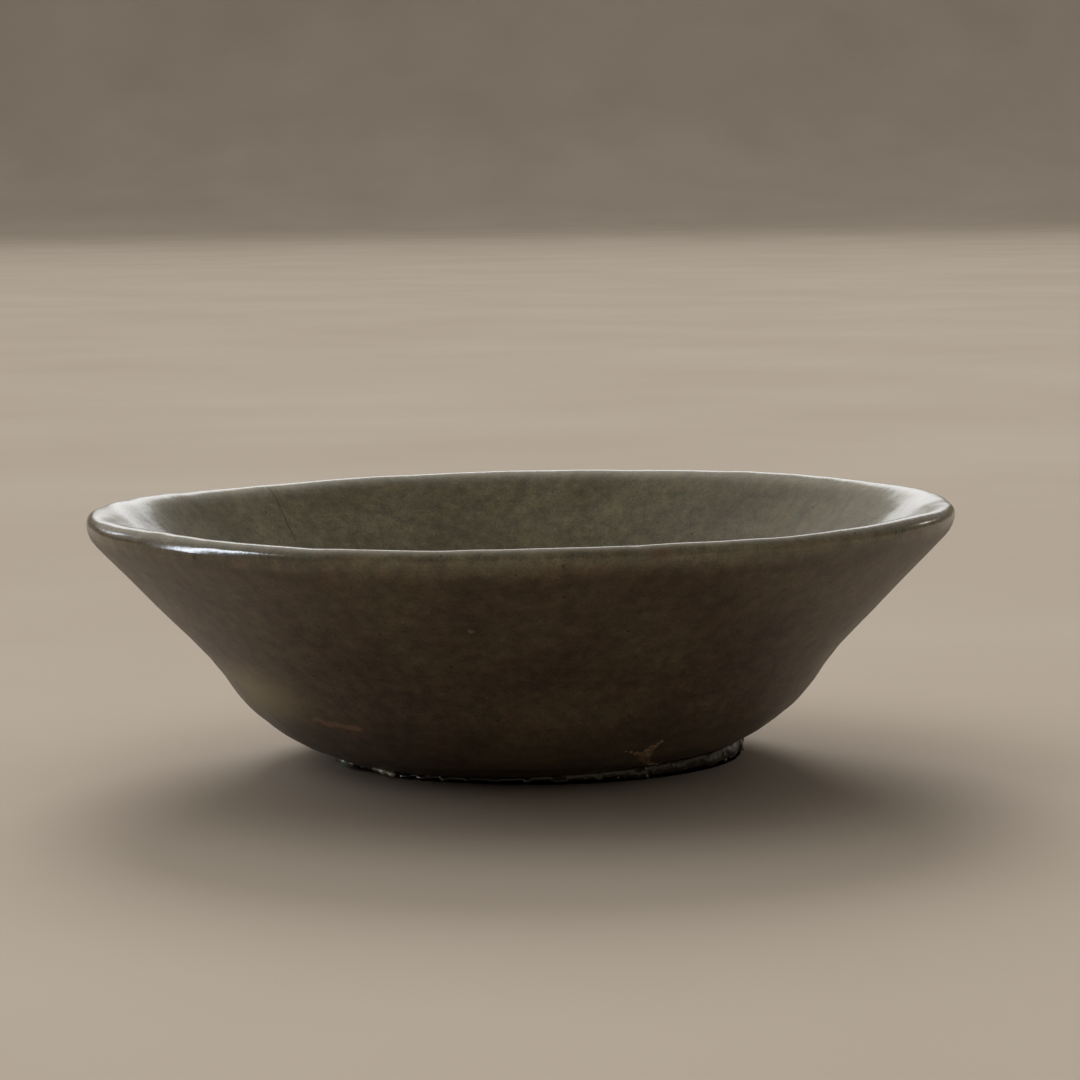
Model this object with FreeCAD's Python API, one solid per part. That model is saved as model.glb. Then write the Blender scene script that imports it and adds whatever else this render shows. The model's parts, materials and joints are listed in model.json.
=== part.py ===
import FreeCAD, Part
import math
import os

# Shallow wheel-thrown stoneware bowl with a celadon glaze, millimetres, +Z up.
# Origin: on the axis of the rim, level with the table that the foot stands on.
# The rim's plane leans a little, and the foot ring sits a little off the rim's axis.

# Rim and wall
RIM_RADIUS = 70.0        # widest radius, on the outside of the lip
RIM_HEIGHT = 40.5        # crest of the lip above the table
LEAN_DEG = 0.38          # the +X side of the rim stands this much higher
LIP_EDGE_ROUND = 1.55    # round from the crest out to the widest point
LIP_UNDER_ROUND = 4.4    # round under the lip, back into the wall
LIP_INNER_ROUND = 4.0    # round from the crest into the bowl
WALL_SLOPE_DEG = 46.0    # straight part of the wall, above the horizontal
WALL_STRAIGHT = 24.2     # length of that straight part, outside

# Lower wall, from the straight part down to the foot: (radius, change of heading)
WAIST = (32.0, 12.0)     # faint hollow where the trimming tool stopped
BELLY = (24.5, -25.8)    # full round of the belly
SKIRT = (56.5, -12.5)    # almost flat sweep in towards the foot
SKIRT_RUN_OUT = 4.0      # carries the sweep below the table, where it is trimmed off

# Inside
FLOOR_HEIGHT = 8.0       # flat floor of the inside above the table
FLOOR_ROUND = 34.0       # curve from the inner wall into the floor

# Foot
FOOT_OFFSET = 3.3        # foot ring's centre along +X from the rim's axis
FOOT_RADIUS = 32.0
FOOT_RING_WIDTH = 5.5
FOOT_HEIGHT = 2.2        # recess under the base
FOOT_BEVEL = 0.6
CLAY_CLEARANCE = 0.3     # the skirt beside the ring stops short of the table

# Glaze and what stuck to it
GLAZE = 0.5
GLAZE_STOP = 0.8         # the coat ends this far above the table
# Each frozen drip of glaze: middle angle round the foot, length in degrees, half its height
DRIPS = [
    (14, 9, 0.8),
    (62, 12, 0.9),
    (118, 10, 0.9),
    (163, 13, 1.0),
    (196, 12, 1.0),
    (219, 15, 1.2),
    (283, 8, 0.7),
    (337, 14, 1.0),
]
DRIP_LIFT = 0.2          # gap between a drip and the table
GRAIN_COUNT = 26
GRAIN_SIZES = (0.34, 0.5, 0.4, 0.6, 0.44)
GRAIN_HEIGHT = 0.85
BARE_FROM = -95          # grains show where the ring stands clear of the wall,
BARE_TO = 95             # between these angles
WAD_ANGLE = 301          # lump of fireclay from a kiln support, round the rim's axis
WAD_RADIUS = 38.7        # where the lower wall is at the lump's height
WAD_HEIGHT = 4.6
WAD_SLOPE_DEG = 30.0     # the lower wall's slope there
WAD_ROUND = 4.8          # radius of the ball that the lump is the cap of
WAD_DEPTH = 0.9          # how far it stands out of the glaze

UP = FreeCAD.Vector(0, 0, 1)
ORIGIN = FreeCAD.Vector(0, 0, 0)
FAR = 200.0


def walk(start, heading_deg, steps, shift_left):
    """Edges of a smooth path in the XZ plane, and the point it ends at.

    Each step is ("line", length) or ("arc", radius, turn), with a left turn
    positive. The start is already shifted: shift_left changes only the radii, so
    that the path runs beside the unshifted one at that distance.
    """
    edges = []
    point = FreeCAD.Vector(start[0], 0, start[1])
    heading = math.radians(heading_deg)
    for step in steps:
        if step[0] == "line":
            direction = FreeCAD.Vector(math.cos(heading), 0, math.sin(heading))
            end = point + direction * step[1]
            edges.append(Part.LineSegment(point, end).toShape())
        else:
            side = 1 if step[2] > 0 else -1
            radius = step[1] - side * shift_left
            turn = math.radians(step[2])
            to_centre = FreeCAD.Vector(-math.sin(heading), 0, math.cos(heading)) * side
            centre = point + to_centre * radius
            middle, end = [
                centre - FreeCAD.Vector(
                    -math.sin(heading + part), 0, math.cos(heading + part)) * side * radius
                for part in (turn / 2, turn)
            ]
            edges.append(Part.Arc(point, middle, end).toShape())
            heading += turn
        point = end
    return edges, point


def crest(depth):
    """The highest point of the lip, or the point that far under it."""
    return RIM_RADIUS - LIP_EDGE_ROUND, RIM_HEIGHT - depth


def outside(depth):
    """From the crest out over the lip and down to the foot, depth under the surface."""
    steps = [
        ("arc", LIP_EDGE_ROUND, -90.0),
        ("arc", LIP_UNDER_ROUND, WALL_SLOPE_DEG - 90.0),
        ("line", WALL_STRAIGHT),
        ("arc",) + WAIST,
        ("arc",) + BELLY,
        ("arc",) + SKIRT,
        ("line", SKIRT_RUN_OUT),
    ]
    return walk(crest(depth), 0.0, steps, -depth)


def inside(depth):
    """From the crest into the bowl and along its floor to the axis, depth under the surface."""
    slope = math.radians(WALL_SLOPE_DEG)
    rounds_drop = (LIP_INNER_ROUND + FLOOR_ROUND) * (1 - math.cos(slope))
    rounds_run = (LIP_INNER_ROUND + FLOOR_ROUND) * math.sin(slope)
    straight = (RIM_HEIGHT - FLOOR_HEIGHT - rounds_drop) / math.sin(slope)
    floor_run = RIM_RADIUS - LIP_EDGE_ROUND - rounds_run - straight * math.cos(slope)
    steps = [
        ("arc", LIP_INNER_ROUND, WALL_SLOPE_DEG),
        ("line", straight),
        ("arc", FLOOR_ROUND, -WALL_SLOPE_DEG),
        ("line", floor_run),
    ]
    return walk(crest(depth), 180.0, steps, depth)


def spin(edges):
    """Solid of revolution about the bowl's axis, then leaned about the rim's centre."""
    face = Part.Face(Part.Wire(Part.__sortEdges__(edges)))
    solid = face.revolve(ORIGIN, UP, 360)
    centre = FreeCAD.Vector(0, 0, RIM_HEIGHT - LIP_EDGE_ROUND)
    solid.rotate(centre, FreeCAD.Vector(0, 1, 0), -LEAN_DEG)
    return solid


def line(start, end):
    return Part.LineSegment(start, end).toShape()


def point(radius, height):
    return FreeCAD.Vector(radius, 0, height)


def below(height):
    """A slab of everything under this height, to cut away."""
    return Part.makeBox(2 * FAR, 2 * FAR, FAR, FreeCAD.Vector(-FAR, -FAR, height - FAR))


def foot_disc(radius, bottom, top):
    """A disc about the foot's own centre."""
    centre = FreeCAD.Vector(FOOT_OFFSET, 0, bottom)
    return Part.makeCylinder(radius, top - bottom, centre)


def on_foot(angle_deg, radius, height):
    """A point at this angle and distance from the foot's centre."""
    angle = math.radians(angle_deg)
    return FreeCAD.Vector(FOOT_OFFSET + radius * math.cos(angle), radius * math.sin(angle), height)


def make_clay_body():
    """The thrown wall and floor, under the glaze."""
    outer, foot_end = outside(GLAZE)
    inner, floor_end = inside(GLAZE)
    bottom = point(0, foot_end.z)
    closing = [line(foot_end, bottom), line(bottom, floor_end)]
    body = spin(outer + inner + closing)
    body = body.cut(foot_disc(FOOT_RADIUS, -FAR, FOOT_HEIGHT))
    return body.cut(below(CLAY_CLEARANCE))


def make_foot_ring():
    """Low ring with a flat bottom and a bevel where it meets the table."""
    ring = foot_disc(FOOT_RADIUS, 0, FOOT_HEIGHT)
    ring = ring.cut(foot_disc(FOOT_RADIUS - FOOT_RING_WIDTH, -1, FOOT_HEIGHT + 1))
    table_edges = [edge for edge in ring.Edges
                   if edge.BoundBox.ZMax < 0.01 and edge.Length > 10]
    return ring.makeChamfer(FOOT_BEVEL, table_edges)


def make_inner_glaze():
    """Glaze coat of the inside, from the crest to the middle of the floor."""
    surface, surface_end = inside(0)
    under, under_end = inside(GLAZE)
    closing = [line(point(*crest(0)), point(*crest(GLAZE))), line(surface_end, under_end)]
    return spin(surface + under + closing)


def make_outer_glaze(foot_ring):
    """Glaze coat of the outside, from the crest down to just above the table."""
    surface, surface_end = outside(0)
    under, under_end = outside(GLAZE)
    closing = [line(point(*crest(0)), point(*crest(GLAZE))), line(surface_end, under_end)]
    coat = spin(surface + under + closing)
    coat = coat.cut(below(GLAZE_STOP))
    return largest_solid(coat.cut(foot_ring))


def make_drip(angle, length, half_height):
    """A stretch of thick glaze that ran down and froze along the foot ring's edge."""
    centre = FreeCAD.Vector(FOOT_OFFSET, 0, half_height + DRIP_LIFT)
    drip = Part.makeTorus(FOOT_RADIUS, half_height, centre, UP, -180, 180, length)
    drip.rotate(centre, UP, angle - length / 2)
    return drip


def make_fireclay_wad():
    """A lump of fireclay on the lower wall, left by a support in the kiln."""
    slope = math.radians(WAD_SLOPE_DEG)
    sink = WAD_ROUND - WAD_DEPTH
    centre = point(WAD_RADIUS - sink * math.sin(slope), WAD_HEIGHT + sink * math.cos(slope))
    ball = Part.makeSphere(WAD_ROUND, centre)
    ball.rotate(ORIGIN, UP, WAD_ANGLE)
    return ball


def make_grains():
    """Quartz grains from the kiln floor, stuck to the foot ring between the drips."""
    grains = []
    for number in range(GRAIN_COUNT):
        angle = BARE_FROM + number * (BARE_TO - BARE_FROM) / (GRAIN_COUNT - 1)
        under_drip = any(abs((angle - drip[0] + 180) % 360 - 180) < drip[1] / 2 + 1.5
                         for drip in DRIPS)
        if not under_drip:
            size = GRAIN_SIZES[number % len(GRAIN_SIZES)]
            grains.append(Part.makeSphere(size, on_foot(angle, FOOT_RADIUS, GRAIN_HEIGHT)))
    return grains


def largest_solid(shape):
    return max(shape.Solids, key=lambda solid: solid.Volume)


def lowest_solid(shape):
    return min(shape.Solids, key=lambda solid: solid.CenterOfMass.z)


def save(name, shape):
    shape.exportStep("parts/%s.step" % name)
    print("%-16s volume %9.2f  solids %2d  valid %s  box %s" % (
        name, shape.Volume, len(shape.Solids), shape.isValid(), shape.BoundBox))


os.makedirs("parts", exist_ok=True)

clay_body = make_clay_body()
foot_ring = make_foot_ring()
inner_glaze = make_inner_glaze()
outer_glaze = make_outer_glaze(foot_ring)
walls = [clay_body, foot_ring, outer_glaze]
save("clay_body", clay_body)
save("foot_ring", foot_ring)
save("inner_glaze", inner_glaze)
save("outer_glaze", outer_glaze)
save("fireclay_wad", lowest_solid(make_fireclay_wad().cut(walls)))
for number, drip in enumerate(DRIPS, 1):
    save("glaze_drip_%d" % number, largest_solid(make_drip(*drip).cut(walls)))
grains = [largest_solid(grain.cut(foot_ring)) for grain in make_grains()]
save("kiln_grit", Part.makeCompound(grains))
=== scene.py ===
import json
import math
import random

import bpy
import numpy as np
from mathutils import Matrix, Vector, noise

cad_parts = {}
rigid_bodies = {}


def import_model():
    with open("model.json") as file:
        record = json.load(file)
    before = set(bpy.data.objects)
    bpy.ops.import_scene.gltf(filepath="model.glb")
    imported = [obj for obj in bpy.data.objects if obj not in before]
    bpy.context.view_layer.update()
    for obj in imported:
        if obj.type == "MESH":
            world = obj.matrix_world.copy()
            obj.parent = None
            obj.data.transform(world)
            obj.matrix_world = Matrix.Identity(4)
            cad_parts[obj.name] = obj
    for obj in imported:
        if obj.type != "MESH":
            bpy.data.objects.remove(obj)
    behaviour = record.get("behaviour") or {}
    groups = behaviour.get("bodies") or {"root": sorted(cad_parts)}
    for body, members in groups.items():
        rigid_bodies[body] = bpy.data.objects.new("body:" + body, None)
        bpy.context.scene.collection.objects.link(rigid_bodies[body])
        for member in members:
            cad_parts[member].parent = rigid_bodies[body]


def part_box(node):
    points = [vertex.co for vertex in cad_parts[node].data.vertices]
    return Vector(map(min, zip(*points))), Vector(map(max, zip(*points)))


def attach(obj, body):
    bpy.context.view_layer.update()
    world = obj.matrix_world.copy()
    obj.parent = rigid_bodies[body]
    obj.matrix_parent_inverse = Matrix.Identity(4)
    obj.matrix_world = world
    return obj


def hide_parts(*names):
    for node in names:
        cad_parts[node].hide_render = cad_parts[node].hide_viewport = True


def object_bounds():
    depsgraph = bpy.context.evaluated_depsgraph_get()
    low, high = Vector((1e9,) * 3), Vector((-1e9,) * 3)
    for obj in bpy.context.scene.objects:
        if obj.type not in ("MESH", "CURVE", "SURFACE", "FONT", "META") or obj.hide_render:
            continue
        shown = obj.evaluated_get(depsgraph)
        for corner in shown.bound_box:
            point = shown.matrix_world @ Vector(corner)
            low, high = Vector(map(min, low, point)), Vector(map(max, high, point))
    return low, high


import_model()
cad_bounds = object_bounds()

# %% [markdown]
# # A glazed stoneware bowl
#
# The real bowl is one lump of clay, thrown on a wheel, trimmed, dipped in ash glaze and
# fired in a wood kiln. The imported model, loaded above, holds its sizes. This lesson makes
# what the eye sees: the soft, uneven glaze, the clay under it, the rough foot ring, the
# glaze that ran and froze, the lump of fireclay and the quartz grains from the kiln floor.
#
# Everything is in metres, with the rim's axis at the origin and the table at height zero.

MM = 0.001
ROOT = "root"
RIM_RADIUS = (cad_bounds[1][0] - cad_bounds[0][0]) / 2
foot_low, foot_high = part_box("foot_ring")
FOOT_RADIUS = (foot_high.y - foot_low.y) / 2
FOOT_CENTRE = Vector(((foot_high.x + foot_low.x) / 2, 0, 0))
FOOT_HEIGHT = foot_high.z
print("rim radius %.1f mm, foot radius %.1f mm, foot %.1f mm off the rim's axis"
      % (RIM_RADIUS / MM, FOOT_RADIUS / MM, FOOT_CENTRE.x / MM))


# %% [markdown]
# ## Small helpers
#
# An operator acts on everything that is selected, so each step starts with nothing
# selected. Colours are written as sRGB hex, as a picture editor shows them, and one
# function turns them into the linear values that a renderer needs.

# %% Selection and colour
def nothing_selected():
    """Leaves edit mode and clears the selection."""
    if bpy.context.object and bpy.context.object.mode != "OBJECT":
        bpy.ops.object.mode_set(mode="OBJECT")
    bpy.ops.object.select_all(action="DESELECT")


def only(piece):
    """Makes one piece the selected and active one."""
    nothing_selected()
    piece.select_set(True)
    bpy.context.view_layer.objects.active = piece


def colour(code):
    """Turns an sRGB hex colour, such as "8a7d60", into Blender's linear colour."""
    parts = [int(code[i:i + 2], 16) / 255 for i in (0, 2, 4)]
    linear = [p / 12.92 if p <= 0.04045 else ((p + 0.055) / 1.055) ** 2.4 for p in parts]
    return (*linear, 1.0)


# %% [markdown]
# ## One helper for nodes
#
# The light of the room and every finish below are small trees of nodes. One helper adds a
# node, sets it up and feeds its sockets, and a second one writes a sum on numbers.

# %% Add a node
def add_node(tree, kind, settings=None, sockets=None, stops=None):
    """Adds a node. A socket takes a value, or the output of another node."""
    new = tree.nodes.new(kind)
    for name, value in (settings or {}).items():
        setattr(new, name, value)
    for name, value in (sockets or {}).items():
        if isinstance(value, bpy.types.NodeSocket):
            tree.links.new(value, new.inputs[name])
        else:
            new.inputs[name].default_value = value
    elements = new.color_ramp.elements if stops else []
    while len(elements) < len(stops or []):
        elements.new(0.5)
    for element, (position, shade) in zip(elements, stops or []):
        element.position = position
        element.color = shade
    return new


def calculate(tree, operation, first, second, third=0.0):
    """One sum on numbers."""
    sockets = {0: first, 1: second, 2: third}
    return add_node(tree, "ShaderNodeMath", {"operation": operation}, sockets).outputs[0]


# %% [markdown]
# ## Floor, light and camera
#
# The bowl stands on a pale floor that curves up into a low backdrop. The main light comes
# over the backdrop, as from a window far behind, so the front is in shade, the shadow falls
# towards the camera and only the curve of the lip catches the light. The room itself gives
# a soft, even light, a little brighter overhead and behind. A small window far to the left
# draws the short white streak on the lip. A smooth glaze shows its shape by what it
# reflects, so the size and place of each panel matter more than its power.
#
# A sun light gives the shadow its direction, but its small bright disc would burn a white
# line into the glaze. So the sun is hidden from reflections, and wider, dimmer panels, seen
# only in reflections, take its place there.

# %% Floor and backdrop
FLOOR_WIDTH, FLOOR_FRONT, FLOOR_BACK = 16.0, -3.0, 7.0
BACKDROP_HEIGHT, BACKDROP_ROUND = 1.3, 1.1
nothing_selected()
bpy.ops.mesh.primitive_plane_add(size=1, location=(0, (FLOOR_FRONT + FLOOR_BACK) / 2, 0))
floor = bpy.context.object
floor.name = "floor"
bpy.ops.object.mode_set(mode="EDIT")
bpy.ops.transform.resize(value=(FLOOR_WIDTH, FLOOR_BACK - FLOOR_FRONT, 1))
bpy.ops.mesh.select_mode(type="EDGE")
bpy.ops.object.mode_set(mode="OBJECT")
for edge in floor.data.edges:
    edge.select = all(floor.data.vertices[corner].co.y > 0 for corner in edge.vertices)
bpy.ops.object.mode_set(mode="EDIT")
bpy.ops.mesh.extrude_edges_move(TRANSFORM_OT_translate={"value": (0, 0, BACKDROP_HEIGHT)})
bpy.ops.object.mode_set(mode="OBJECT")
for edge in floor.data.edges:
    corners = [floor.data.vertices[corner].co for corner in edge.vertices]
    edge.select = all(corner.y > 0 and corner.z < 0.01 for corner in corners)
bpy.ops.object.mode_set(mode="EDIT")
bpy.ops.mesh.bevel(offset=BACKDROP_ROUND, segments=24, profile=0.5)
bpy.ops.object.mode_set(mode="OBJECT")
bpy.ops.object.shade_smooth()
print("floor and backdrop", [round(side, 2) for side in floor.dimensions])


# %% [markdown]
# Each light is placed by its azimuth and elevation round the bowl, because that is how its
# reflection is found on the lip. The panels are hidden from diffuse rays, so they draw
# highlights without filling the shadow.

# %% Lights
def towards(azimuth, elevation):
    """The direction at this azimuth and elevation, in degrees."""
    across, up = math.radians(azimuth), math.radians(elevation)
    return Vector((math.cos(across) * math.cos(up), math.sin(across) * math.cos(up), math.sin(up)))


def aim(light, name, direction, power, tint):
    """Turns a light to shine from this direction on the bowl, and sets it up."""
    light.name = name
    light.rotation_euler = direction.to_track_quat("Z", "Y").to_euler()
    light.data.energy = power
    light.data.color = colour(tint)[:3]
    print("%s: %.2f from %s" % (name, power, [round(value, 2) for value in direction]))


def soft_panel(name, azimuth, elevation, distance, size, radiance, tint):
    """A rectangular panel that faces the bowl and is seen only in reflections."""
    direction = towards(azimuth, elevation)
    nothing_selected()
    bpy.ops.object.light_add(type="AREA", location=direction * distance)
    panel = bpy.context.object
    panel.data.shape = "RECTANGLE"
    panel.data.size, panel.data.size_y = size
    panel.visible_diffuse = False
    aim(panel, name, direction, radiance * math.pi * size[0] * size[1], tint)


nothing_selected()
bpy.ops.object.light_add(type="SUN", location=(0, 3, 2))
bpy.context.object.data.angle = math.radians(20)
bpy.context.object.visible_glossy = False
aim(bpy.context.object, "far_window_behind", towards(92, 27), 0.8, "fffaf2")
soft_panel("window_behind", 90, 14, 3.0, (1.6, 0.8), 1.5, "fbfdff")
soft_panel("window_left", 176, 24, 1.6, (0.34, 1.3), 21.0, "e8f1ff")
soft_panel("window_left_behind", 130, 19, 1.6, (0.16, 0.2), 5.0, "e8f1ff")
soft_panel("lamp_right_behind", 44, 16, 1.6, (0.12, 0.16), 7.0, "fff6ea")


# %% [markdown]
# The light of the room is a world shader. The direction of each ray is compared with the
# direction of the bright side of the room, and the closer they are the brighter it is.

# %% Light of the room
ROOM_LIGHT = 0.24
GLOW = 1.05
GLOW_SPREAD = 5.0
world = bpy.data.worlds.new("soft room")
bpy.context.scene.world = world
world.use_nodes = True
room = world.node_tree
ray = add_node(room, "ShaderNodeTexCoord").outputs["Generated"]
facing = add_node(room, "ShaderNodeVectorMath", {"operation": "DOT_PRODUCT"},
                  {0: ray, 1: towards(116, 46)}).outputs["Value"]
towards_glow = calculate(room, "POWER", calculate(room, "MAXIMUM", facing, 0.0), GLOW_SPREAD)
background = room.nodes["Background"]
background.inputs["Color"].default_value = colour("f4ede0")
brightness = calculate(room, "MULTIPLY_ADD", towards_glow, GLOW, ROOM_LIGHT)
room.links.new(brightness, background.inputs["Strength"])
print("room light %.2f everywhere, %.2f more at its brightest" % (ROOM_LIGHT, GLOW))

# %% [markdown]
# The camera stands low, almost level with the rim, and far enough away for a long lens. It
# is turned down a few degrees and rolled by half a degree, as a hand-held camera is.

# %% Camera, low and close to level
CAMERA_PLACE = Vector((3.0, -581.5, 93.4)) * MM
LOOK_DOWN = math.radians(5.76)
ROLL = math.radians(0.6)
nothing_selected()
bpy.ops.object.camera_add(location=CAMERA_PLACE)
camera = bpy.context.object
camera.name = "camera"
camera.data.lens = 120
camera.data.sensor_width = 36
tilt = Matrix.Rotation(math.pi / 2 - LOOK_DOWN, 4, "X") @ Matrix.Rotation(-ROLL, 4, "Z")
camera.matrix_world = Matrix.Translation(CAMERA_PLACE) @ tilt
bpy.context.scene.camera = camera
bpy.context.scene.view_settings.view_transform = "Standard"
print("camera %.0f mm from the rim's axis, %.0f mm high" % (-CAMERA_PLACE.y / MM, CAMERA_PLACE.z / MM))


# %% [markdown]
# ## What every finish starts with
#
# The patterns read object coordinates, in metres, so a pattern's scale is one over the size
# of its features, and each size is given in millimetres.

# %% Start a finish and lay one colour over another
def per_mm(size_mm):
    """The scale that gives a pattern features of this size."""
    return 1 / (size_mm * MM)


def new_finish(name):
    """A material with only its output and its shader, and the object coordinates to read."""
    material = bpy.data.materials.new(name)
    material.use_nodes = True
    tree = material.node_tree
    tree.nodes.clear()
    output = add_node(tree, "ShaderNodeOutputMaterial")
    shader = add_node(tree, "ShaderNodeBsdfPrincipled")
    tree.links.new(shader.outputs["BSDF"], output.inputs["Surface"])
    place = add_node(tree, "ShaderNodeTexCoord").outputs["Object"]
    return material, tree, shader, place


MIX_FACTOR, MIX_A, MIX_B, MIX_RESULT = 0, 6, 7, 2


def blend(tree, mask, below, above, kind="MIX"):
    """Lays one colour over another where the mask is 1."""
    mix = add_node(tree, "ShaderNodeMix", {"data_type": "RGBA", "blend_type": kind},
                   {MIX_FACTOR: mask, MIX_A: below, MIX_B: above})
    return mix.outputs[MIX_RESULT]


# %% [markdown]
# The floor is painted with matt emulsion. A flat colour would look like a hole in the
# picture, so wide, faint clouds are mixed into it, as a roller leaves them.

# %% Matt painted floor
# Matt emulsion: pale, with no shine, and slightly cloudy as a rolled coat is.
paint, tree, shader, place = new_finish("matt_emulsion")
cloud = add_node(tree, "ShaderNodeTexNoise", sockets={"Vector": place, "Scale": per_mm(180), "Detail": 3.0})
tone = add_node(tree, "ShaderNodeValToRGB", sockets={"Fac": cloud.outputs["Fac"]},
                stops=[(0.3, colour("d3c9bf")), (0.7, colour("dbd2c9"))])
tree.links.new(tone.outputs["Color"], shader.inputs["Base Color"])
shader.inputs["Roughness"].default_value = 0.9
shader.inputs["Specular IOR Level"].default_value = 0.0
floor.data.materials.append(paint)
print("floor finish:", paint.name)


# %% [markdown]
# ## The outline of the bowl
#
# A potter judges a bowl by its outline. Here it is a path of straight runs and round
# stretches, in the plane of radius and height, walked from the crest of the lip: one way
# out over the lip and down to the foot, the other way into the bowl and along its floor.
# Arcs keep the path smooth with very few numbers.

# %% Walk along a path
def walk(start, heading, steps, spacing):
    """Points along a path. A step is ("line", length) or ("arc", radius, turn in degrees)."""
    points = [Vector(start)]
    heading = math.radians(heading)
    for kind, *values in steps:
        here = points[-1]
        if kind == "line":
            count = max(1, round(values[0] / spacing))
            along = Vector((math.cos(heading), math.sin(heading)))
            points += [here + along * values[0] * (i + 1) / count for i in range(count)]
        else:
            radius, turn = values[0], math.radians(values[1])
            side = math.copysign(1, turn)
            count = max(4, round(abs(turn) * radius / spacing))
            centre = here + Vector((-math.sin(heading), math.cos(heading))) * side * radius
            for i in range(1, count + 1):
                now = heading + turn * i / count
                points.append(centre - Vector((-math.sin(now), math.cos(now))) * side * radius)
            heading += turn
    return points


# %% [markdown]
# The lip is three arcs that get wider towards the outside, the wall is a straight run, and
# three more arcs turn it into the waist above the foot. Each path can be walked at a depth
# under the surface, so the clay under the glaze follows from the same numbers.

# %% The two halves of the outline
CREST_HEIGHT = 40.5 * MM
LIP_TOP, LIP_EDGE, LIP_UNDER, LIP_INNER = 2.2 * MM, 1.5 * MM, 4.05 * MM, 6.0 * MM
LIP_TURN = math.sin(math.radians(45))
CREST_RADIUS = RIM_RADIUS - LIP_TOP * LIP_TURN - LIP_EDGE * (1 - LIP_TURN)
FLOOR_HEIGHT = 8.0 * MM
FLOOR_ROUND = 34.0 * MM
WALL_SLOPE = 46.0
GLAZE = 0.45 * MM


def outside_path(depth, spacing):
    """Over the lip and down the outside, this far under the surface of the glaze."""
    steps = [
        ("arc", LIP_TOP - depth, -45),
        ("arc", LIP_EDGE - depth, -45),
        ("arc", LIP_UNDER - depth, WALL_SLOPE - 90),
        ("line", 24.33 * MM),
        ("arc", 32.0 * MM + depth, 12),
        ("arc", 24.5 * MM - depth, -25.8),
        ("arc", 56.5 * MM - depth, -12.5),
    ]
    return walk((CREST_RADIUS, CREST_HEIGHT - depth), 0, steps, spacing)


def inside_path(depth, spacing):
    """Down the inside to the middle of the floor, this far under the surface."""
    slope = math.radians(WALL_SLOPE)
    rounds = LIP_INNER + FLOOR_ROUND
    drop = CREST_HEIGHT - FLOOR_HEIGHT - rounds * (1 - math.cos(slope))
    straight = drop / math.sin(slope)
    floor_run = CREST_RADIUS - rounds * math.sin(slope) - straight * math.cos(slope)
    steps = [
        ("arc", LIP_INNER - depth, WALL_SLOPE),
        ("line", straight),
        ("arc", FLOOR_ROUND + depth, -WALL_SLOPE),
        ("line", floor_run),
    ]
    return walk((CREST_RADIUS, CREST_HEIGHT - depth), 180, steps, spacing)


# %% [markdown]
# Fingers and the trimming tool leave rings. On the outside they are close-set and crisp
# low down, where the bowl was trimmed, and almost gone near the lip. Inside they are wide
# and soft. They are added to the outline itself, a tenth of a millimetre high, because a
# ring goes all the way round.

# %% Rings left by the wheel
def ringed(points, height, pitch, fade_from, fade_to):
    """Moves points off the path in random waves that fade out between two heights."""
    moved = [points[0].copy()]
    travelled = 0.0
    for before, here, after in zip(points, points[1:], points[2:]):
        travelled += (here - before).length
        along = (after - before).normalized()
        fade = min(1, max(0, (fade_to - here.y) / (fade_to - fade_from)))
        wave = noise.noise(Vector((travelled / pitch, 0.5, 0.5))) * 2
        moved.append(here + Vector((-along.y, along.x)) * wave * height * fade)
    return moved + [points[-1].copy()]


COAT_END = 0.9 * MM
outside = outside_path(0, 0.8 * MM)
inside = inside_path(0, 1.3 * MM)
outline = list(reversed(ringed(inside, 0.07 * MM, 5.5 * MM, 26 * MM, 37 * MM)))
trimmed = ringed(outside, 0.1 * MM, 2.6 * MM, 10 * MM, 27 * MM)
outline += [point for point in trimmed[1:] if point.y > COAT_END]
print("outline of %d points" % len(outline))


def wall_radius(height_mm):
    """How far from the rim's axis the outside of the wall is, at this height, in mm."""
    lowest_first = sorted((point.y / MM, point.x / MM) for point in outside)
    return float(np.interp(height_mm, *zip(*lowest_first)))


def wall_height(radius_mm):
    """How high the outside of the wall is, at this distance from the rim's axis, in mm."""
    below_lip = [point for point in outside if point.y < 0.9 * CREST_HEIGHT]
    innermost_first = sorted((point.x / MM, point.y / MM) for point in below_lip)
    return float(np.interp(radius_mm, *zip(*innermost_first)))


# %% [markdown]
# ## The glaze coat
#
# The real glaze is a glassy skin, half a millimetre thick, melted over the whole bowl but
# for the foot. It could be only a material on the clay, but the clay shows where it ends,
# and it has a rounded, wandering edge. So it is a skin of its own: the outline is drawn as
# a chain of edges and spun round the axis, as on the wheel, and then given its thickness.

# %% Spin an outline
def spin_outline(name, outline, segments, centre=(0, 0, 0)):
    """Draws an outline as a chain of edges and spins it once round an upright axis."""
    nothing_selected()
    start = Vector(centre) + Vector((outline[0].x, 0, outline[0].y))
    bpy.ops.mesh.primitive_plane_add(size=MM, location=start)
    piece = bpy.context.object
    piece.name = name
    piece.data.name = name
    bpy.ops.object.transform_apply(location=True)
    bpy.ops.object.mode_set(mode="EDIT")
    bpy.ops.mesh.select_mode(type="VERT")
    bpy.ops.mesh.select_all(action="SELECT")
    bpy.ops.mesh.merge(type="CENTER")
    for before, after in zip(outline, outline[1:]):
        step = after - before
        bpy.ops.mesh.extrude_region_move(TRANSFORM_OT_translate={"value": (step.x, 0, step.y)})
    bpy.ops.mesh.select_all(action="SELECT")
    bpy.ops.mesh.spin(steps=segments, angle=math.tau, center=centre, axis=(0, 0, 1))
    bpy.ops.mesh.select_all(action="SELECT")
    bpy.ops.mesh.remove_doubles(threshold=0.02 * MM)
    bpy.ops.mesh.normals_make_consistent(inside=False)
    bpy.ops.object.mode_set(mode="OBJECT")
    print("%s: %d faces" % (name, len(piece.data.polygons)))
    return piece


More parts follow.
